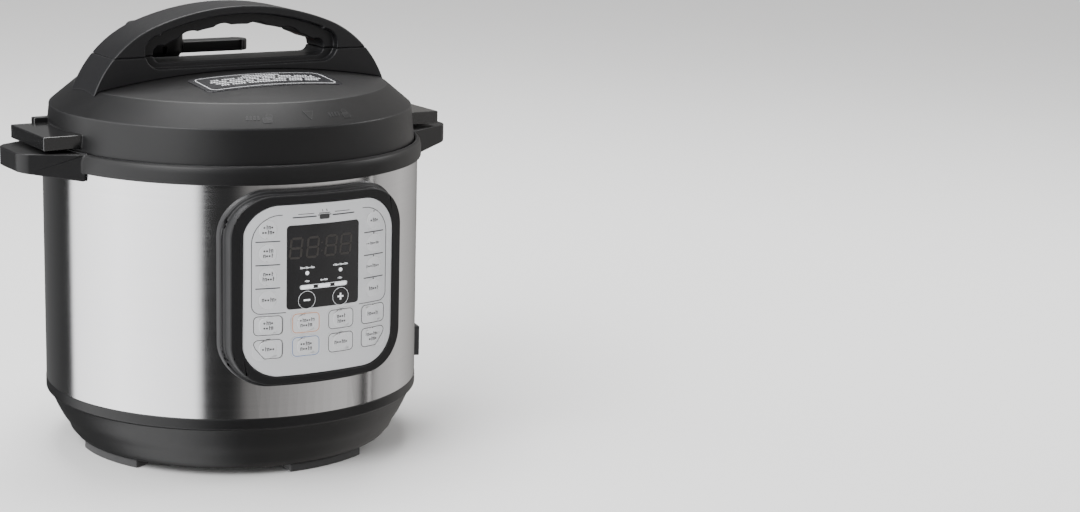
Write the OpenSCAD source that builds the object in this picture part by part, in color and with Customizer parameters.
// Electric pressure cooker: base with a curved key panel, two side handles, inner pot and
// a bayonet lid with an arched carrying handle, steam release and float valve.
// Millimetres, +Z up, front at -Y, origin on the floor under the pot's axis.

/* [Body] */
// Outer radius of the steel shell
body_r = 132.5; // [128:0.5:160]
// Height of the steel shell that shows between base and collar
shell_h = 160; // [152:1:195]
// Thickness of the steel shell
shell_t = 0.8; // [0.6:0.1:1.2]
// Height of the plastic base above its feet
base_h = 41; // [38:1:52]
// Wall of the plastic base and lid
wall = 2.4; // [2:0.1:3]
// Height of the rubber feet
foot_h = 6; // [4:0.5:9]
// How far the base pulls in from the shell to the floor
base_tuck = 20.2; // [14:0.5:24]

/* [Collar and handles] */
// Height of the black collar above the steel
collar_h = 13; // [11:0.5:18]
// How far the collar stands proud of the shell
collar_proud = 2.5; // [1.5:0.1:4]
// Reach of each side handle from the shell
handle_reach = 33.5; // [28:0.5:42]
// Half width of a side handle where it leaves the collar
handle_half_w = 40; // [34:0.5:46]
// Thickness of a side handle at the collar
handle_t = 18.5; // [14:0.5:24]

/* [Pots] */
// Space between the shell and the outer pot
pot_space = 16; // [14:0.5:20]
// Wall of the outer pot
outer_pot_t = 1.2; // [0.8:0.1:2]
// Gap between the outer and the inner pot
pot_gap = 2.8; // [2:0.1:4]
// Wall of the inner pot
inner_pot_t = 1; // [0.8:0.1:1.5]
// Height of the inner pot's bottom above the floor
pot_floor_z = 72; // [70:1:80]
// Radius of the heating plate
plate_r = 84; // [70:1:95]

/* [Lid] */
// Height of the lid's steep skirt
skirt_h = 23.5; // [20:0.5:30]
// How far the skirt leans in
skirt_draft = 2.3; // [1:0.1:4]
// Height of the sloped ring above the skirt
cone_h = 14.5; // [10:0.5:20]
// Horizontal run of the sloped ring
cone_run = 17.4; // [14:0.2:22]
// Rise of the shallow dome
dome_h = 10.5; // [6:0.5:16]
// Number of bayonet lugs on the lid and on the outer pot
lug_count = 8; // [4:1:10]
// Radial gap between the two rings of lugs
lug_gap = 0.5; // [0.3:0.1:1]

/* [Carrying handle] */
// Half length of the arched handle
arch_half = 111; // [104:1:116]
// Thickness of the handle from front to back
arch_t = 40; // [32:1:46]
// Rise of the handle above the dome
arch_rise = 44.7; // [40:0.5:56]
// Height of the split between grip and base above the dome
split_rise = 11.5; // [9:0.5:14]
// Depth of the bevelled rim round the finger opening
rim_depth = 6; // [3:0.5:9]

/* [Panel] */
// Radius of the panel's curved front
panel_r = 195; // [180:1:230]
// How far the panel stands in front of the shell
panel_proud = 9.5; // [8:0.5:14]
// Half width of the silver faceplate
plate_half_w = 56.4; // [56:0.2:60]
// Height of the silver faceplate
plate_h = 116.4; // [116:0.2:124]
// Thickness of the faceplate
plate_t = 1.6; // [1.4:0.1:2]
// Width of the black bezel round the faceplate
bezel_w = 10.1; // [8:0.1:12]
// Half width of the display window
window_half_w = 27; // [26:0.2:28]
// Height of the display window
window_h = 57; // [56:0.5:58]

/* [Keys] */
// Width of a lower key
key_w = 20.7; // [18:0.1:22]
// Height of a lower key
key_h = 14.4; // [12:0.1:15]
// Diameter of a round upper key
round_key_d = 12; // [9:0.2:13]
// Spacing of the key columns
key_pitch = 26.5; // [25:0.1:26.8]
// Gap round each key
key_gap = 0.25; // [0.2:0.05:0.4]
// Radius of a key's stem
stem_r = 2; // [1.5:0.1:2.5]

/* [Valves] */
// Bore radius of the steam vent pipe
vent_r = 2; // [1.5:0.1:3]
// Outer radius of the steam vent pipe
pipe_r = 5.5; // [4.5:0.1:6.5]
// Radius of the steam release's round head
head_r = 21; // [18:0.5:23]
// Reach of the steam release's lever from its pivot
lever_reach = 73; // [60:1:80]
// Radius of the float valve's stem
float_r = 2.9; // [2:0.1:3.5]
// Running clearance of stems in their guides
run_fit = 0.1; // [0.05:0.01:0.15]

/* [Condensation cup] */
// Outer width of the cup
cup_w = 54; // [44:1:62]
// Outer depth of the cup
cup_d = 27; // [22:1:34]
// Height of the cup
cup_h = 56; // [44:1:70]
// Wall of the cup
cup_t = 1.8; // [1.4:0.1:2.4]

/* [Hidden] */
$fn = 120;
eps = 0.01;
face_gap = 0.1;      // hairline between pieces that seat on a curved surface
body_gap = 0.3;      // gap between pieces that move apart

// levels
z_shell = foot_h + base_h;
z_collar = z_shell + shell_h;
z_seam = z_collar + collar_h;
z_shoulder = z_seam + skirt_h;
z_edge = z_shoulder + cone_h;
z_apex = z_edge + dome_h;
z_mid = z_shell + shell_h / 2;

// lid radii
seam_r = body_r - 2.8;
shoulder_r = seam_r - skirt_draft;
edge_r = shoulder_r - cone_run;
dome_r = (edge_r * edge_r + dome_h * dome_h) / (2 * dome_h);
dome_cz = z_apex - dome_r;
lid_dip = 2.5;       // how far the skirt reaches into the collar's trough
cover_t = wall;

// pots
outer_pot_r = body_r - pot_space;
inner_pot_r = outer_pot_r - outer_pot_t - pot_gap;
outer_floor_z = pot_floor_z - 20;
flange_t = 2.5;
flange_z = z_seam + 2.5;             // underside of the outer pot's flange
flange_r = outer_pot_r + 1.7;
rim_z = flange_z + flange_t;         // seat of the inner pot's rim
rim_h = 4.2;
rim_r = flange_r - 0.2;
pot_lug_r = flange_r + 2.2;
seal_z = rim_z + rim_h + body_gap;
seal_h = 10.5;

// lid plate
disc_t = 1.2;
disc_z = seal_z + seal_h + body_gap;
skirt_out_r = pot_lug_r + lug_gap + 3.5;
skirt_in_r = skirt_out_r - disc_t;
skirt_z = z_seam - 1;
lug_t = 2.6;
lug_arc = 22;

// collar trough
trough_z = z_collar + 6;
trough_out_r = seam_r + 1;
trough_wall = 2.5;
collar_in_r = outer_pot_r + 1.3;
shell_lap = 1.5;     // the shell tucks this far up under the collar

// panel
panel_y = body_r + panel_proud;       // front of the panel on its centre line
panel_cy = panel_r - panel_y;         // axis of the panel's curve
bezel_side = 5.5;                     // how far the bezel's outer step stands off the shell
plate_z0 = z_mid - plate_h / 2 + 9.7;
plate_z1 = plate_z0 + plate_h;
pan_t = 2.5;
pan_r = panel_r - plate_t;
head_t = 1;
board_y = body_r - 5.5;               // front face of the control board
board_t = 1.6;
board_half_w = 46;
board_margin = 7.5;
pocket_half_w = 50;
pocket_h = plate_h - 2 * board_margin + 2;
stem_end_r = panel_r - 6.5;
switch_gap = 1.2;
window_z1 = plate_z1 - 14;
window_z0 = window_z1 - window_h;
led_half_w = 23;
led_h = 21;
led_z = window_z1 - 15.5;

// keys: name, column place, height, kind (0 round upper, 1 outlined lower, 2 round window key)
upper_z = plate_z1 - 16;
upper_pitch = 15.8;
low_z = plate_z0 + 35.5;
low_pitch = 16.2;
col = [-1.5 * key_pitch, -0.5 * key_pitch, 0.5 * key_pitch, 1.5 * key_pitch];
left_names = ["soup_key", "meat_key", "bean_key", "poultry_key"];
right_names = ["rice_key", "multigrain_key", "porridge_key", "steam_key"];
low_names = [["slow_cook_key", "pressure_level_key", "keep_warm_key", "yogurt_key"],
             ["saute_key", "delay_start_key", "cancel_key", "pressure_cook_key"]];
KEYS = concat(
    [for (i = [0:3]) [left_names[i], col[0], upper_z - i * upper_pitch, 0]],
    [for (i = [0:3]) [right_names[i], col[3], upper_z - i * upper_pitch, 0]],
    [for (j = [0:1], i = [0:3]) [low_names[j][i], col[i], low_z - j * low_pitch, 1]],
    [["minus_key", -12.7, window_z0 + 5.6, 2], ["plus_key", 12.7, window_z0 + 5.6, 2]]);

// valves on the lid, from the pot's axis
steam_x = -38;
steam_y = 50;
float_x = 62;
float_y = 45;
lock_x = 84;
lock_y = 52;
lock_travel = 3;
pin_r = 2;
lock_seat_z = z_edge - 6;            // end of the lock pin's guide
lock_top_z = z_edge - 4.8;           // top of the lock pin
well_r = 7.5;
well_z = z_edge - 3;                 // floor of the float valve's well
float_travel = 4;
function dome_z(x, y) = dome_cz + sqrt(dome_r * dome_r - x * x - y * y);
pipe_top = z_apex + 11.5;
head_z = z_apex + 2.3;
head_h = 25;
lever_z = z_apex + 5;
lever_t = 8;
weight_r = 9.5;

// label in front of the carrying handle
label_w = 104;
label_d = 38;
label_y = -54;
label_t = 0.4;

// screws
screw_r = 1.5;
screw_head_r = 3;
screw_ring = 88;
boss_r = 4.5;

// arched handle outline: a flat arc on top and two tighter arcs at the ends
z_arch = z_apex + arch_rise;
z_split = z_apex + split_rise;
handle_screw_z = z_split + 7;        // tips of the handle's screws
arch_end_r = 77;
arch_end_x = arch_half - 71.2;
arch_top_r = 187;
arch_cz = z_arch - arch_top_r;
arch_a = asin(arch_end_x / (arch_top_r - arch_end_r));
arch_end_z = arch_cz + (arch_top_r - arch_end_r) * cos(arch_a);
throat_half = 66;
throat_z0 = z_apex + 7;
throat_z1 = z_arch - 13.5;
throat_r = 135;
rim_half = 74;
rim_z0 = z_apex + 3;
rim_z1 = z_arch - 5.7;
rim_top_r = 174;
scallop_r = 14;       // finger scallops under the grip
scallop_pitch = 24;
scallop_bite = 1.6;

// side handles
tip_r = 12;
tip_x = body_r + handle_reach - tip_r;
tip_y = 13;
fin_reach = 20;
fin_half_w = 31;
fin_t = 9.4;
fin_z = z_seam + 2.3;

// condensation cup behind the collar
cup_top = z_collar - 9;
bracket_y = body_r + 2.2;
cup_y = bracket_y + body_gap;
rail_z = cup_top - 6;
rail_t = 2;
rail_w = 2.4;

// inlet on the right
inlet_a = -12;       // turned this far from +X towards the front
inlet_z = z_shell + 15;
inlet_half_w = 15;
inlet_half_h = 11;
inlet_out = body_r + 5.8;

// heater and sensor
sensor_r = 12;
sensor_travel = 3;
stem_guide_r = 4;
heater_t = 7;
tube_r = 3.5;
tube_ring = 60;
foot_ring = body_r - base_tuck - 7.5;
foot_w = 13;
foot_arc = 33;
foot_first = 12;     // angle of the first foot, from the front towards the right
floor_t = 2.5;
board_z = foot_h + 9;
power_l = 110;       // power board, and how far it sits off the axis
power_w = 74;
power_x = 8;

// ---------- shared shapes ----------

// rectangle with round corners, centred
module round_rect(w, h, r) {
    square([w - 2 * r, h], center = true);
    square([w, h - 2 * r], center = true);
    for (sx = [-1, 1], sy = [-1, 1])
        translate([sx * (w / 2 - r), sy * (h / 2 - r)]) circle(r);
}

// stands an X-Z outline up and gives it depth d, centred on Y
module upright(d) {
    rotate([90, 0, 0]) linear_extrude(height = d, center = true) children();
}

// ring between two radii and two levels
module ring(r_in, r_out, z0, z1) {
    rotate_extrude() translate([r_in, z0]) square([r_out - r_in, z1 - z0]);
}

// wedge that keeps only an arc of a ring about the axis
module sector(a, r) {
    linear_extrude(height = 400)
        polygon([[0, 0], [r, -r * tan(a / 2)], [r, r * tan(a / 2)]]);
}

// helical wire of round section, as one swept solid
module coil(r, wire_r, z0, z1, turns, sides = 6, steps = 14) {
    n = turns * steps;
    pitch = (z1 - z0 - 2 * wire_r) / n;
    ring_pts = [for (i = [0:n]) let (a = i * 360 / steps, z = z0 + wire_r + i * pitch)
        for (k = [0:sides - 1]) let (b = k * 360 / sides, q = r + wire_r * cos(b))
            [q * cos(a), q * sin(a), z + wire_r * sin(b)]];
    walls = [for (i = [0:n - 1], k = [0:sides - 1]) let (k2 = (k + 1) % sides)
        [i * sides + k, (i + 1) * sides + k, (i + 1) * sides + k2, i * sides + k2]];
    start = [for (k = [0:sides - 1]) k];
    finish = [for (k = [sides - 1:-1:0]) n * sides + k];
    polyhedron(ring_pts, concat(walls, [start, finish]), convexity = 10);
}

// ---------- base ----------

// outside of the base, pulled in by t
module base_outline(t) {
    foot_r = body_r - base_tuck;
    step_z = z_shell - 7.4;
    polygon(concat(
        [[0, foot_h + (t > 0 ? floor_t : 0)], [foot_r - t, foot_h + (t > 0 ? floor_t : 0)],
         [foot_r + 4.1 - t, foot_h + 5], [foot_r + 6.2 - t, foot_h + 10],
         [foot_r + 9.7 - t, foot_h + 15], [foot_r + 12.9 - t, foot_h + 21],
         [foot_r + 15.6 - t, foot_h + 27]],
        [[body_r - 1.9 - t, step_z - 1.1], [body_r + 0.3 - t, step_z],
         [body_r + 0.3 - t, z_shell + (t > 0 ? 1 : 0)], [0, z_shell + (t > 0 ? 1 : 0)]]));
}

module foot_places() {
    for (i = [0:3]) rotate(foot_first - 90 + i * 90) children();
}

function board_screw_places() = [for (sx = [-1, 1], sy = [-1, 1]) [8 + sx * 46, sy * 30]];

// back of the control board at its four screws
module panel_screw_places() {
    mid_z = (plate_z0 + plate_z1) / 2;
    for (sx = [-1, 1], sz = [-1, 1]) translate([sx * key_pitch, board_t - board_y,
            mid_z + sz * (plate_h / 2 - board_margin - 4)])
        children();
}

module screw_places(ring) {
    for (i = [0:3]) rotate(45 + i * 90) translate([ring, 0, 0]) children();
}

module base_housing() {
    color("#2b2b2d") difference() {
        union() {
            difference() {
                rotate_extrude() base_outline(0);
                rotate_extrude() base_outline(wall + 0.6);
            }
            screw_places(screw_ring) translate([0, 0, foot_h + floor_t - eps])
                cylinder(r = boss_r, h = outer_floor_z - foot_h - floor_t + eps);
            for (p = board_screw_places()) translate([p[0], p[1], foot_h + floor_t - eps])
                cylinder(r = 3.2, h = board_z - foot_h - floor_t + eps);
        }
        for (p = board_screw_places()) translate([p[0], p[1], foot_h + floor_t])
            cylinder(r = screw_r + face_gap, h = 20);
        screw_places(screw_ring) translate([0, 0, foot_h - 1]) {
            cylinder(r = screw_r + face_gap, h = outer_floor_z);
            cylinder(r = screw_head_r + 0.4, h = 2.6);
        }
        foot_places() for (a = [-1, 1]) rotate(a * foot_arc / 4)
            translate([foot_ring, 0, foot_h - 1]) cylinder(r = 2.6, h = floor_t + 2);
        for (i = [0:11]) rotate(i * 30 + 15)
            translate([34, -2, foot_h - 1]) cube([26, 4, floor_t + 2]);
    }
}

module rubber_feet() {
    color("#1c1c1e") foot_places() {
        intersection() {
            ring(foot_ring - foot_w / 2, foot_ring + foot_w / 2, 0, foot_h);
            sector(foot_arc, 2 * body_r);
        }
        for (a = [-1, 1]) rotate(a * foot_arc / 4) translate([foot_ring, 0, foot_h - 1])
            cylinder(r = 2.5, h = floor_t + 1.6);
    }
}

module screw(length) {
    cylinder(r = screw_head_r, h = 1.4);
    cylinder(r = screw_r, h = length);
}

module body_screws() {
    color("#9a9a9c") {
        screw_places(screw_ring) translate([0, 0, foot_h + 0.2])
            screw(outer_floor_z + outer_pot_t + 3 - foot_h);
        for (p = board_screw_places()) translate([p[0], p[1], board_z + 3]) rotate([180, 0, 0])
            screw(8);
        panel_screw_places() translate([0, 1.4, 0]) rotate([90, 0, 0]) screw(8);
    }
}

module shell_holes() {
    // opening behind the panel, the inlet and the bracket's screws
    translate([0, -body_r, (plate_z0 + plate_z1) / 2])
        cube([2 * pocket_half_w, 60, pocket_h], center = true);
    rotate(inlet_a) translate([body_r, 0, inlet_z])
        cube([30, 2 * inlet_half_w - 4, 2 * inlet_half_h - 4], center = true);
}

module steel_shell() {
    color("#c9cacc") difference() {
        ring(body_r - shell_t, body_r, z_shell, z_collar + shell_lap);
        shell_holes();
    }
}

// ---------- collar and pots ----------

module side_handle() {
    base_x = body_r - 4;
    root = [body_r - 4.5, handle_half_w];
    to_tip = [tip_x, tip_y] - root;
    reach = norm(to_tip);
    slant = atan2(to_tip[1], to_tip[0]) + asin(tip_r / reach);
    touch = [tip_x - tip_r * sin(slant), tip_y + tip_r * cos(slant)];
    drop = 5;
    difference() {
        translate([0, 0, z_seam - handle_t]) linear_extrude(height = handle_t) {
            polygon([[base_x - 6, -handle_half_w], [root[0], -root[1]], [touch[0], -touch[1]],
                     [tip_x + tip_r, -tip_y], [tip_x + tip_r, tip_y], touch, root,
                     [base_x - 6, handle_half_w]]);
            for (s = [-1, 1]) translate([tip_x, s * tip_y]) circle(tip_r);
        }
        // underside rises towards the tip
        translate([base_x, 0, z_seam - handle_t]) rotate([0, -atan(drop / handle_reach), 0])
            translate([0, -60, -20]) cube([80, 120, 20]);
        // hollow for the fingers, open below
        translate([0, 0, z_seam - handle_t - 1]) linear_extrude(height = handle_t - 3.5)
            translate([body_r + 5, -22]) square([tip_x - body_r - 2, 44]);
    }
}

module upper_collar() {
    top_r = trough_out_r;
    color("#2b2b2d") difference() {
        union() {
            rotate_extrude() polygon([
                [body_r + 0.1, z_collar], [body_r + collar_proud, z_collar],
                [body_r + collar_proud, z_seam - 5.5], [body_r + collar_proud - 0.7, z_seam - 2],
                [body_r + 0.4, z_seam - 0.3], [body_r - 1, z_seam],
                [top_r, z_seam - 0.6], [top_r, trough_z], [collar_in_r + trough_wall, trough_z],
                [collar_in_r + trough_wall, flange_z], [collar_in_r, flange_z],
                [collar_in_r, trough_z - 2.6], [body_r - 1.4, trough_z - 2.6],
                [body_r - 1.4, z_collar + shell_lap], [body_r + 0.1, z_collar + shell_lap]]);
            difference() {
                for (a = [0, 180]) rotate(a) side_handle();
                ring(0, body_r + 0.2, 0, 2 * z_seam);
            }
        }
        // drain into the condensation cup
        translate([0, trough_out_r - 3.5, trough_z - 10]) cylinder(r = 2.6, h = 14);
    }
}

module outer_pot() {
    color("#b4b5b7") difference() {
        union() {
            rotate_extrude() polygon([
                [0, outer_floor_z], [outer_pot_r, outer_floor_z], [outer_pot_r, flange_z],
                [flange_r, flange_z], [flange_r, rim_z], [outer_pot_r - outer_pot_t, rim_z],
                [outer_pot_r - outer_pot_t, outer_floor_z + outer_pot_t],
                [0, outer_floor_z + outer_pot_t]]);
            for (i = [0:lug_count - 1]) rotate((i + 0.5) * 360 / lug_count) intersection() {
                ring(flange_r - 1, pot_lug_r, flange_z, rim_z);
                sector(lug_arc, 2 * body_r);
            }
        }
        translate([0, 0, outer_floor_z - 1]) cylinder(r = 22, h = outer_pot_t + 2);
        terminal_places() translate([0, 0, outer_floor_z - 1]) cylinder(r = 4, h = outer_pot_t + 2);
        screw_places(screw_ring) translate([0, 0, outer_floor_z - 1])
            cylinder(r = screw_r + face_gap, h = outer_pot_t + 2);
    }
}

module inner_pot() {
    bead_r = 2;
    color("#d2d3d5") rotate_extrude() {
        polygon([[0, pot_floor_z], [inner_pot_r - 5, pot_floor_z], [inner_pot_r, pot_floor_z + 5],
                 [inner_pot_r, rim_z], [rim_r - bead_r, rim_z], [rim_r - bead_r, rim_z + rim_h],
                 [inner_pot_r - inner_pot_t, rim_z + rim_h],
                 [inner_pot_r - inner_pot_t, pot_floor_z + 7],
                 [inner_pot_r - 7, pot_floor_z + 3], [0, pot_floor_z + 3]]);
        translate([rim_r - bead_r, rim_z + bead_r]) circle(bead_r);
    }
}

module sealing_ring() {
    in_r = inner_pot_r - 5;
    out_r = rim_r + 0.5;
    color("#e6e4df") rotate_extrude() polygon([
        [in_r, seal_z + 3.5], [in_r + 4.5, seal_z], [out_r - 2, seal_z], [out_r, seal_z + 2],
        [out_r, seal_z + seal_h], [out_r - 3, seal_z + seal_h], [out_r - 3, seal_z + 4.5],
        [in_r + 3.4, seal_z + 4.5], [in_r + 3.4, seal_z + seal_h], [in_r, seal_z + seal_h]]);
}

// ---------- heater and electrics ----------

module terminal_places() {
    for (s = [-1, 1]) translate([s * 9, -tube_ring, 0]) children();
}

module heating_element() {
    top = pot_floor_z - body_gap;
    color("#a7a8aa") {
        ring(sensor_r + 2, plate_r, top - heater_t, top);
        rotate_extrude() translate([tube_ring, top - heater_t]) circle(tube_r);
        terminal_places() translate([0, 0, outer_floor_z - 6])
            cylinder(r = 2, h = top - outer_floor_z);
    }
}

module element_bracket() {
    top = pot_floor_z - body_gap - heater_t;
    seat = outer_floor_z + outer_pot_t;
    leg_ring = tube_ring - 14;
    color("#8f9092") {
        for (i = [0:2]) rotate(i * 120 + 30) {
            translate([leg_ring, 0, seat]) cylinder(r = 4, h = top - seat);
            translate([stem_guide_r + 4, -4, seat]) cube([leg_ring - stem_guide_r - 4, 8, 1.2]);
        }
        ring(stem_guide_r + run_fit, sensor_r + 2, seat, seat + 1.2);
    }
}

module temperature_sensor() {
    top = pot_floor_z - 0.1;
    color("#b9babc") {
        translate([0, 0, top - 5]) cylinder(r = sensor_r, h = 5);
        translate([0, 0, outer_floor_z - 6])
            cylinder(r = stem_guide_r, h = top - outer_floor_z + 2);
    }
}

module sensor_spring() {
    color("#9fa0a2") coil(7, 0.8, outer_floor_z + outer_pot_t + 1.4, pot_floor_z - 5.3, 4);
}

module pressure_switch() {
    color("#3d3f44") translate([-64, 18, outer_floor_z - 14]) {
        cube([28, 14, 14]);
        translate([28, 5, 9]) cube([12, 4, 1.2]);
    }
}

module thermal_fuse() {
    color("#dcdcdc") translate([26, -40, outer_floor_z - 3]) {
        rotate([0, 90, 0]) cylinder(r = 2.2, h = 14);
        translate([5, -2.6, 0.4]) cube([4, 5.2, 2.6]);
    }
}

module power_board() {
    transformer = [30, 25, 19];
    relay = [19, 16, 15];
    terminals = [14, 8, 9];
    color("#2f6b46") translate([power_x, 0, board_z]) {
        difference() {
            translate([-power_l / 2, -power_w / 2, 0]) cube([power_l, power_w, board_t]);
            for (p = board_screw_places()) translate([p[0] - power_x, p[1], -1])
                cylinder(r = screw_r + 0.2, h = 4);
        }
        translate([-30, -2, board_t]) cube(transformer);
        translate([8, -6, board_t]) cube(relay);
        translate([-12, -26, board_t]) cube(terminals);
        // capacitors
        translate([36, -12, board_t]) cylinder(r = 6, h = 16);
        translate([-38, -20, board_t]) cylinder(r = 5, h = 12);
    }
}

module ribbon_cable() {
    turn_y = body_r - 24;
    up_y = outer_pot_r + 3.2;
    back_y = board_y - board_t - face_gap;
    foot_z = board_z + board_t;
    low_z = plate_z0 + board_margin;
    t = 1;
    color("#c8c4bb") translate([-7, 0, 0]) rotate([90, 0, 90]) linear_extrude(height = 14)
        polygon([[-33, foot_z], [-turn_y, foot_z], [-up_y - t, z_shell], [-up_y - t, low_z - 8],
                 [-back_y, low_z + 3], [-back_y, low_z + 12], [t - back_y, low_z + 12],
                 [t - back_y, low_z + 2.6], [-up_y, low_z - 8.4], [-up_y, z_shell - 0.4],
                 [-turn_y + 0.5, foot_z + t], [-33, foot_z + t]]);
}

module control_board() {
    color("#2f6b46") difference() {
        translate([-board_half_w, -board_y, plate_z0 + board_margin])
            cube([2 * board_half_w, board_t, plate_h - 2 * board_margin]);
        panel_screw_places() rotate([90, 0, 0])
            cylinder(r = screw_r + 0.2, h = 10, center = true);
    }
}

module tact_switches() {
    r = stem_end_r - switch_gap;
    color("#39393b") for (k = KEYS) let (a = asin(k[1] / panel_r), y = panel_cy - r * cos(a))
        translate([r * sin(a) - 3, y, k[2] - 3]) cube([6, -board_y - y, 6]);
}

module display_module() {
    front = panel_y - 4;
    color("#151517") {
        translate([-led_half_w, -front, led_z - led_h / 2])
            cube([2 * led_half_w, front - board_y, led_h]);
        for (s = [-1, 1]) translate([s * 12.7 - 1.5, -board_y - 4, window_z0 + 22.5])
            cube([3, 4, 3]);
    }
}

// ---------- panel ----------

// solid cylinder about the panel's own axis
module panel_cyl(r) {
    translate([0, panel_cy, 0]) cylinder(r = r, h = 2 * z_seam, $fn = 240);
}

// curved slab of an outline, between two radii of the panel's curve
module panel_slab(r_in, r_out) {
    difference() {
        intersection() {
            translate([0, -panel_y, 0]) upright(80) children();
            panel_cyl(r_out);
        }
        panel_cyl(r_in);
    }
}

// place on the panel's front, X along the column and -Y outwards
module on_panel(x, z) {
    a = asin(x / panel_r);
    translate([0, panel_cy, z]) rotate(a) translate([0, -panel_r, 0]) children();
}

module plate_outline(grow) {
    translate([0, (plate_z0 + plate_z1) / 2])
        round_rect(2 * (plate_half_w + grow), plate_h + 2 * grow, 25 + grow);
}

module bezel_outline(grow) {
    translate([0, (plate_z0 + plate_z1) / 2 + 0.4]) round_rect(2 * (plate_half_w + bezel_w + grow),
        plate_h + 2 * (bezel_w - 1.6 + grow), 31 + grow);
}

module key_outline(kind, grow) {
    if (kind == 1) round_rect(key_w + 2 * grow, key_h + 2 * grow, 3.6 + grow);
    else circle((kind == 0 ? round_key_d / 2 : 5.7) + grow);
}

// hole for a key, through everything between two radii
module key_hole(k, r_in, r_out) {
    on_panel(k[1], k[2]) translate([0, (r_out - r_in) / 2 + panel_r - r_out, 0])
        upright(r_out - r_in) key_outline(k[3], key_gap);
}

module stem_holes() {
    for (k = KEYS) on_panel(k[1], k[2]) rotate([-90, 0, 0]) translate([0, 0, -2])
        cylinder(r = stem_r + 0.3, h = 12);
}

module panel_bezel() {
    mid_z = (plate_z0 + plate_z1) / 2;
    color("#232325") difference() {
        union() {
            difference() {
                union() {
                    intersection() {
                        translate([0, -panel_y, 0]) upright(80) bezel_outline(0);
                        cylinder(r = body_r + bezel_side, h = 2 * z_seam, $fn = 240);
                    }
                    intersection() {
                        translate([0, -panel_y, 0]) upright(80) bezel_outline(-2.4);
                        panel_cyl(panel_r + 0.6);
                    }
                }
                cylinder(r = body_r + eps, h = 2 * z_seam, $fn = 240);
                translate([0, -body_r, mid_z]) intersection() {
                    cube([2 * pocket_half_w, 80, pocket_h], center = true);
                    translate([0, body_r, -mid_z]) panel_cyl(pan_r - pan_t);
                }
            }
            panel_screw_places() rotate([90, 0, 0]) translate([0, 0, board_t])
                cylinder(r = 3.2, h = 9);
        }
        panel_screw_places() rotate([90, 0, 0]) cylinder(r = screw_r + face_gap, h = 9);
        panel_slab(pan_r, panel_r + 20) plate_outline(0.2);
        panel_slab(pan_r - 20, panel_r) translate([0, led_z]) round_rect(48, 35, 2);
        stem_holes();
    }
}

module panel_faceplate() {
    color("#c6c8cb") difference() {
        panel_slab(pan_r, panel_r) plate_outline(0);
        translate([0, -panel_y, (window_z0 + window_z1) / 2])
            upright(60) round_rect(2 * window_half_w, window_h, 2.5);
        for (k = KEYS) key_hole(k, pan_r - 2, panel_r + 2);
    }
}

module display_window() {
    color([0.05, 0.05, 0.06, 0.9]) difference() {
        panel_slab(pan_r, panel_r) translate([0, (window_z0 + window_z1) / 2])
            round_rect(2 * (window_half_w - face_gap), window_h - 2 * face_gap, 2.5 - face_gap);
        for (k = KEYS) if (k[3] == 2) key_hole(k, pan_r - 2, panel_r + 2);
    }
}

module key(k) {
    dome_d = k[3] == 2 ? 0 : min(round_key_d, key_h - 1.5);
    dome_rise = 0.5;
    ball_r = (dome_d * dome_d / 4 + dome_rise * dome_rise) / (2 * dome_rise);
    color(k[3] == 2 ? "#17171a" : "#c6c8cb") {
        difference() {
            intersection() {
                on_panel(k[1], k[2]) upright(20) key_outline(k[3], 0);
                panel_cyl(panel_r);
            }
            panel_cyl(panel_r - head_t);
        }
        on_panel(k[1], k[2]) {
            if (dome_d > 0) intersection() {
                translate([0, ball_r - dome_rise, 0]) sphere(r = ball_r, $fn = 180);
                translate([0, -3, 0]) rotate([-90, 0, 0]) cylinder(r = dome_d / 2, h = 3.4);
            }
            translate([0, head_t / 2, 0]) rotate([-90, 0, 0])
                cylinder(r = stem_r, h = panel_r - stem_end_r - head_t / 2);
        }
    }
}

// ---------- inlet and condensation cup ----------

module power_inlet() {
    color("#1f1f21") rotate(inlet_a) difference() {
        translate([body_r - 8, -inlet_half_w, inlet_z - inlet_half_h])
            cube([inlet_out - body_r + 8, 2 * inlet_half_w, 2 * inlet_half_h]);
        difference() {
            ring(0, body_r + 0.1, 0, z_seam);
            translate([body_r, 0, inlet_z]) cube([40, 2 * inlet_half_w - 4.4,
                2 * inlet_half_h - 4.4], center = true);
        }
        translate([inlet_out - 11, -11, inlet_z - 7]) cube([20, 22, 14]);
        pin_blades(face_gap);
    }
}

// three upright blades, grown by g
module pin_blades(g) {
    for (p = [[-6, -1.5], [0, 2], [6, -1.5]])
        translate([inlet_out - 20, p[0] - 0.8 - g, inlet_z + p[1] - 1.5 - g])
            cube([14.5, 1.6 + 2 * g, 3 + 2 * g]);
}

module inlet_pins() {
    color("#c9b06a") rotate(inlet_a) pin_blades(0);
}

module cup_bracket() {
    rail_in = cup_w / 2 + body_gap;
    half = rail_in + 5;
    color("#2b2b2d") difference() {
        union() {
            difference() {
                translate([-half, 0, cup_top - cup_h - 4])
                    cube([2 * half, bracket_y, cup_h + 12.5]);
                ring(0, body_r + 0.1, 0, z_seam);
            }
            for (s = [-1, 1]) translate([s > 0 ? rail_in : -half, bracket_y - eps, rail_z - 3.5])
                cube([5, cup_d - 3, cup_top + 1 - rail_z + 3.5]);
            translate([-half, bracket_y - eps, cup_top + body_gap])
                cube([2 * half, cup_d - 3, 2.4]);
        }
        // grooves for the cup's side flanges
        for (s = [-1, 1]) translate([s > 0 ? rail_in - 1 : -rail_in - rail_w - body_gap,
                bracket_y, rail_z - body_gap])
            cube([rail_w + 1 + body_gap, cup_d + 5, rail_t + 2 * body_gap]);
        // drain channel from the collar to the cup
        translate([0, trough_out_r - 3.5, z_collar - 12]) cube([6, 8, 40], center = true);
        translate([0, bracket_y + 6, cup_top]) cylinder(r = 3, h = 5);
    }
}

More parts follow.
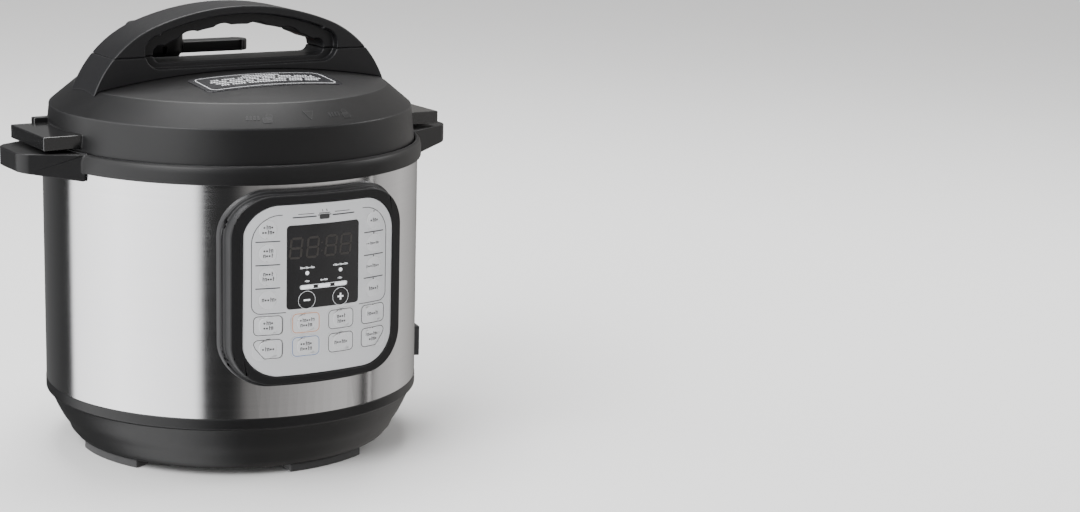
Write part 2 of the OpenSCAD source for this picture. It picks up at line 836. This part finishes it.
module condensation_cup() {
    color([0.85, 0.87, 0.9, 0.5]) difference() {
        union() {
            translate([-cup_w / 2, cup_y, cup_top - cup_h]) cube([cup_w, cup_d, cup_h]);
            for (s = [-1, 1]) translate([s > 0 ? cup_w / 2 - eps : -cup_w / 2 - rail_w + eps,
                    cup_y, rail_z]) cube([rail_w, cup_d - 4, rail_t]);
            translate([-9, cup_y + cup_d - eps, cup_top - 16]) cube([18, 4, 2.4]);
        }
        translate([-cup_w / 2 + cup_t, cup_y + cup_t, cup_top - cup_h + cup_t])
            cube([cup_w - 2 * cup_t, cup_d - 2 * cup_t, cup_h]);
    }
}

// ---------- lid ----------

// half section of the lid, pulled in by t all round
module lid_section(t) {
    tan_cone = cone_h / cone_run;
    drop = t * sqrt(1 + tan_cone * tan_cone);
    skirt_slope = skirt_draft / skirt_h;
    turn_z = z_shoulder - (drop - t * tan_cone);
    polygon([[0, z_seam - lid_dip - (t > 0 ? 1 : 0)],
             [seam_r + lid_dip * skirt_slope - t, z_seam - lid_dip - (t > 0 ? 1 : 0)],
             [shoulder_r - t, turn_z], [edge_r - t * 0.5, z_edge - drop + t * tan_cone * 0.5],
             [0, z_edge - drop + t * tan_cone * 0.5]]);
    intersection() {
        translate([0, dome_cz]) circle(r = dome_r - t, $fn = 720);
        translate([0, z_edge - drop - 1]) square([edge_r - t * 0.5, dome_h + drop + 2]);
    }
}

function plate_screw_places() = [for (a = [60, 120, 240, 300]) screw_ring * [cos(a), sin(a)]];
function handle_screw_places() = [for (sx = [-1, 1], sy = [-1, 1])
    [sx * (arch_half - 25), sy * 11]];

// posts under the lid's roof: four for the plate's screws and one that guides the lock pin
module lid_posts() {
    for (p = plate_screw_places()) translate([p[0], p[1], disc_z + disc_t])
        cylinder(r = boss_r, h = z_apex - disc_z);
    translate([lock_x, lock_y, lock_seat_z]) cylinder(r = 6, h = z_apex - lock_seat_z);
}

module lid_cover() {
    vent_top = dome_z(steam_x, steam_y) + 2;
    color("#262628") difference() {
        union() {
            rotate_extrude() difference() {
                lid_section(0);
                lid_section(cover_t);
            }
            intersection() {
                lid_posts();
                rotate_extrude() lid_section(eps);
            }
            // raised collar round the vent pipe, and the float valve's guide
            translate([steam_x, steam_y, disc_z + disc_t + 4]) difference() {
                cylinder(r = 14, h = vent_top - disc_z - disc_t - 4);
                translate([0, 0, -1]) cylinder(r = 11.5, h = 60);
            }
            translate([float_x, float_y, disc_z + disc_t + 3])
                cylinder(r = well_r + 2, h = dome_z(float_x + 4, float_y + 4) - disc_z - disc_t - 3);
            // fins over the side handles
            difference() {
                for (s = [-1, 1]) translate([s > 0 ? seam_r - 6 : -seam_r - fin_reach - 2.6,
                        -fin_half_w, fin_z]) cube([fin_reach + 8.6, 2 * fin_half_w, fin_t]);
                rotate_extrude() lid_section(eps);
            }
            // lid sensor lug behind the left fin
            difference() {
                translate([-seam_r - 4.5, 33.5, fin_z]) cube([20, 6.5, fin_t + 3]);
                rotate_extrude() lid_section(eps);
            }
        }
        translate([steam_x, steam_y, disc_z]) cylinder(r = 11.5, h = 60);
        translate([float_x, float_y, well_z]) cylinder(r = well_r, h = 30);
        translate([float_x, float_y, disc_z]) cylinder(r = float_r + run_fit, h = 40);
        translate([lock_x, lock_y, disc_z])
            cylinder(r = pin_r + run_fit, h = lock_top_z + lock_travel + 0.5 - disc_z);
        for (p = plate_screw_places()) translate([p[0], p[1], disc_z])
            cylinder(r = screw_r + face_gap, h = 12.5);
        for (p = handle_screw_places()) translate([p[0], p[1], z_edge - 4])
            cylinder(r = screw_r + 0.3, h = 40);
        // vent slots beside the steam release
        for (i = [0:4]) translate([steam_x + 22 + i * 5, 70, z_edge - 6]) cube([2, 12, 20]);
    }
}

module arch_outline() {
    for (s = [-1, 1]) translate([s * arch_end_x, arch_end_z]) circle(arch_end_r);
    intersection() {
        translate([0, arch_cz]) circle(arch_top_r, $fn = 360);
        polygon([[0, arch_cz], [-220 * tan(arch_a), arch_cz + 220], [220 * tan(arch_a),
            arch_cz + 220]]);
    }
}

// opening for the hand: a low arc over round ends, with four finger scallops on request
module hand_outline(half, z0, z1, top_r, scallops) {
    end_z = z1 - top_r + sqrt(top_r * top_r - (half - 9) * (half - 9));
    end_r = (end_z - z0) / 2;
    for (s = [-1, 1]) translate([s * (half - end_r), z0 + end_r]) circle(end_r);
    intersection() {
        translate([0, z1 - top_r]) circle(top_r, $fn = 360);
        translate([-half + end_r, z0]) square([2 * (half - end_r), z1 - z0 + 1]);
    }
    if (scallops) intersection() {
        for (i = [-1.5:1.5]) let (x = i * scallop_pitch)
            translate([x, z1 - top_r + sqrt(top_r * top_r - x * x) + scallop_bite - scallop_r])
                circle(scallop_r);
        translate([-half, (z0 + z1) / 2]) square([2 * half, z1 - z0]);
    }
}

module handle_blank() {
    difference() {
        upright(arch_t) arch_outline();
        upright(arch_t + 2) hand_outline(throat_half, throat_z0, throat_z1, throat_r, true);
        for (s = [-1, 1]) translate([0, s * (arch_t / 2 - rim_depth / 2 + 0.5), 0])
            upright(rim_depth + 1) hand_outline(rim_half, rim_z0, rim_z1, rim_top_r, false);
    }
}

module handle_screw_holes() {
    for (p = handle_screw_places()) translate([p[0], p[1], z_edge - 4])
        cylinder(r = screw_r + face_gap, h = handle_screw_z - z_edge + 4.5);
}

module lid_handle_grip() {
    color("#2a2a2c") difference() {
        intersection() {
            handle_blank();
            translate([-150, -40, z_split + face_gap / 2]) cube([300, 80, 100]);
        }
        handle_screw_holes();
    }
}

module lid_handle_base() {
    color("#2a2a2c") difference() {
        intersection() {
            handle_blank();
            translate([-150, -40, z_edge - 30]) cube([300, 80, z_split - face_gap / 2 - z_edge + 30]);
        }
        rotate_extrude() lid_section(-face_gap);
        handle_screw_holes();
    }
}

module lid_plate() {
    color("#cfd0d2") difference() {
        union() {
            rotate_extrude() polygon([
                [0, disc_z], [skirt_in_r, disc_z], [skirt_in_r, skirt_z], [skirt_out_r, skirt_z],
                [skirt_out_r, disc_z + disc_t], [0, disc_z + disc_t]]);
            for (i = [0:lug_count - 1]) rotate((i + 0.5) * 360 / lug_count) intersection() {
                ring(pot_lug_r + lug_gap, skirt_in_r + 0.6, skirt_z, skirt_z + lug_t);
                sector(lug_arc, 2 * body_r);
            }
        }
        translate([steam_x, steam_y, disc_z - 1]) cylinder(r = pipe_r + face_gap, h = 4);
        translate([float_x, float_y, disc_z - 1]) cylinder(r = float_r + run_fit, h = 4);
        translate([lock_x, lock_y, disc_z - 1]) cylinder(r = pin_r + run_fit, h = 4);
        for (p = plate_screw_places()) translate([p[0], p[1], disc_z - 1])
            cylinder(r = screw_r + 0.3, h = 4);
    }
}

module lid_screws() {
    color("#9a9a9c") {
        for (p = plate_screw_places()) translate([p[0], p[1], disc_z - 1.8]) {
            cylinder(r = screw_head_r, h = 1.8);
            cylinder(r = screw_r, h = 12);
        }
        // the handle's screws start under the lid's roof
        for (p = handle_screw_places()) {
            head_top = dome_z(abs(p[0]) + 3, abs(p[1]) + 3) - cover_t - face_gap;
            translate([p[0], p[1], head_top - 1.8]) {
                cylinder(r = screw_head_r, h = 1.8);
                cylinder(r = screw_r, h = handle_screw_z - head_top + 1.8);
            }
        }
    }
}

module lid_label() {
    color("#101012") intersection() {
        translate([0, label_y, z_edge - 30]) linear_extrude(height = 60)
            round_rect(label_w, label_d, 6);
        difference() {
            rotate_extrude() lid_section(-face_gap - label_t);
            rotate_extrude() lid_section(-face_gap);
        }
    }
}

module ring_rack() {
    rack_r = inner_pot_r - 8.5;
    color("#b9babc") {
        rotate_extrude() translate([rack_r, seal_z + 4]) circle(1.4);
        for (i = [0:5]) rotate(i * 60) translate([rack_r, 0, seal_z + 4])
            cylinder(r = 1.2, h = disc_z - seal_z - 4);
    }
}

// ---------- valves ----------

module vent_pipe() {
    color("#c4c5c7") translate([steam_x, steam_y, 0]) difference() {
        union() {
            translate([0, 0, disc_z - 9]) cylinder(r = pipe_r, h = pipe_top - disc_z + 9 - 6);
            translate([0, 0, pipe_top - 6 - eps]) cylinder(r = 3.4, h = 6);
            translate([0, 0, disc_z + disc_t]) cylinder(r = 9.5, h = 2);
        }
        translate([0, 0, disc_z - 10]) cylinder(r = vent_r, h = 80);
    }
}

module vent_nut() {
    color("#b1b2b4") translate([steam_x, steam_y, disc_z - 5]) difference() {
        cylinder(r = 9, h = 5, $fn = 6);
        translate([0, 0, -1]) cylinder(r = pipe_r + face_gap, h = 8);
    }
}

module anti_block_shield() {
    color("#bdbec0") translate([steam_x, steam_y, disc_z - 14]) difference() {
        cylinder(r = 13, h = 13.8);
        translate([0, 0, 1]) cylinder(r = 12, h = 14);
        for (i = [0:11]) rotate(i * 30) translate([10, -1.2, 3]) cube([5, 2.4, 7]);
    }
}

module steam_release() {
    tip_w = 7;
    color("#1d1d1f") translate([steam_x, steam_y, 0]) difference() {
        union() {
            translate([0, 0, head_z]) cylinder(r1 = head_r - 3, r2 = head_r, h = 6);
            translate([0, 0, head_z + 6 - eps]) cylinder(r = head_r, h = head_h - 10);
            translate([0, 0, head_z + head_h - 4 - 2 * eps])
                cylinder(r1 = head_r, r2 = head_r - 3, h = 4);
            translate([0, -tip_w - 1, lever_z]) cube([lever_reach - tip_w, 2 * tip_w + 2, lever_t]);
            translate([lever_reach - tip_w - 1, 0, lever_z]) cylinder(r = tip_w + 1, h = lever_t);
        }
        translate([0, 0, head_z - 1]) cylinder(r = pipe_r + run_fit, h = 20);
        translate([0, 0, pipe_top - 8.9]) cylinder(r = weight_r + body_gap, h = 16.6);
        for (i = [0:5]) rotate(i * 60 + 30) translate([7, -1.5, head_z + 4])
            cube([30, 3, 5]);
    }
}

module steam_weight() {
    color("#9c9da0") translate([steam_x, steam_y, pipe_top - 8.6]) difference() {
        cylinder(r = weight_r, h = 16);
        translate([0, 0, -1]) cylinder(r = pipe_r + body_gap, h = 4);
        translate([0, 0, -1]) cylinder(r = 3.4 + body_gap, h = 10);
    }
}

module float_valve() {
    color("#c23a34") translate([float_x, float_y, 0]) {
        translate([0, 0, disc_z - float_travel - 0.3])
            cylinder(r = float_r, h = z_edge + 0.5 - disc_z + float_travel);
        translate([0, 0, well_z + 0.4]) cylinder(r = float_r + 2.6, h = 3.6);
        // neck and foot that carry the seal
        translate([0, 0, disc_z - float_travel - 5.5]) cylinder(r = float_r - 0.9, h = 6);
        translate([0, 0, disc_z - float_travel - 5.5]) cylinder(r = float_r + 0.3, h = 1);
    }
}

module float_seal() {
    color("#e3e1dc") translate([float_x, float_y, disc_z - float_travel - 4.4])
        ring(float_r - 0.8, float_r + 3.6, 0, 4);
}

module lock_pin() {
    color("#bfc0c2") translate([lock_x, lock_y, 0]) {
        translate([0, 0, disc_z - 3]) cylinder(r = pin_r, h = lock_top_z - disc_z + 3);
        translate([0, 0, disc_z + disc_t + 0.2]) cylinder(r = 4, h = 1.2);
    }
}

module lock_spring() {
    color("#9fa0a2") translate([lock_x, lock_y, 0])
        coil(3.2, 0.4, disc_z + disc_t + 1.6, lock_seat_z - 0.2, 4, 6, 12);
}

base_housing();
rubber_feet();
body_screws();
steel_shell();
upper_collar();
outer_pot();
heating_element();
element_bracket();
pressure_switch();
thermal_fuse();
power_board();
ribbon_cable();
control_board();
tact_switches();
display_module();
panel_bezel();
panel_faceplate();
display_window();
power_inlet();
inlet_pins();
cup_bracket();
condensation_cup();
temperature_sensor();
sensor_spring();
inner_pot();
sealing_ring();
lid_cover();
lid_handle_base();
lid_handle_grip();
lid_plate();
lid_screws();
lid_label();
ring_rack();
vent_pipe();
vent_nut();
anti_block_shield();
steam_release();
steam_weight();
float_valve();
float_seal();
lock_pin();
lock_spring();
for (k = KEYS) key(k);
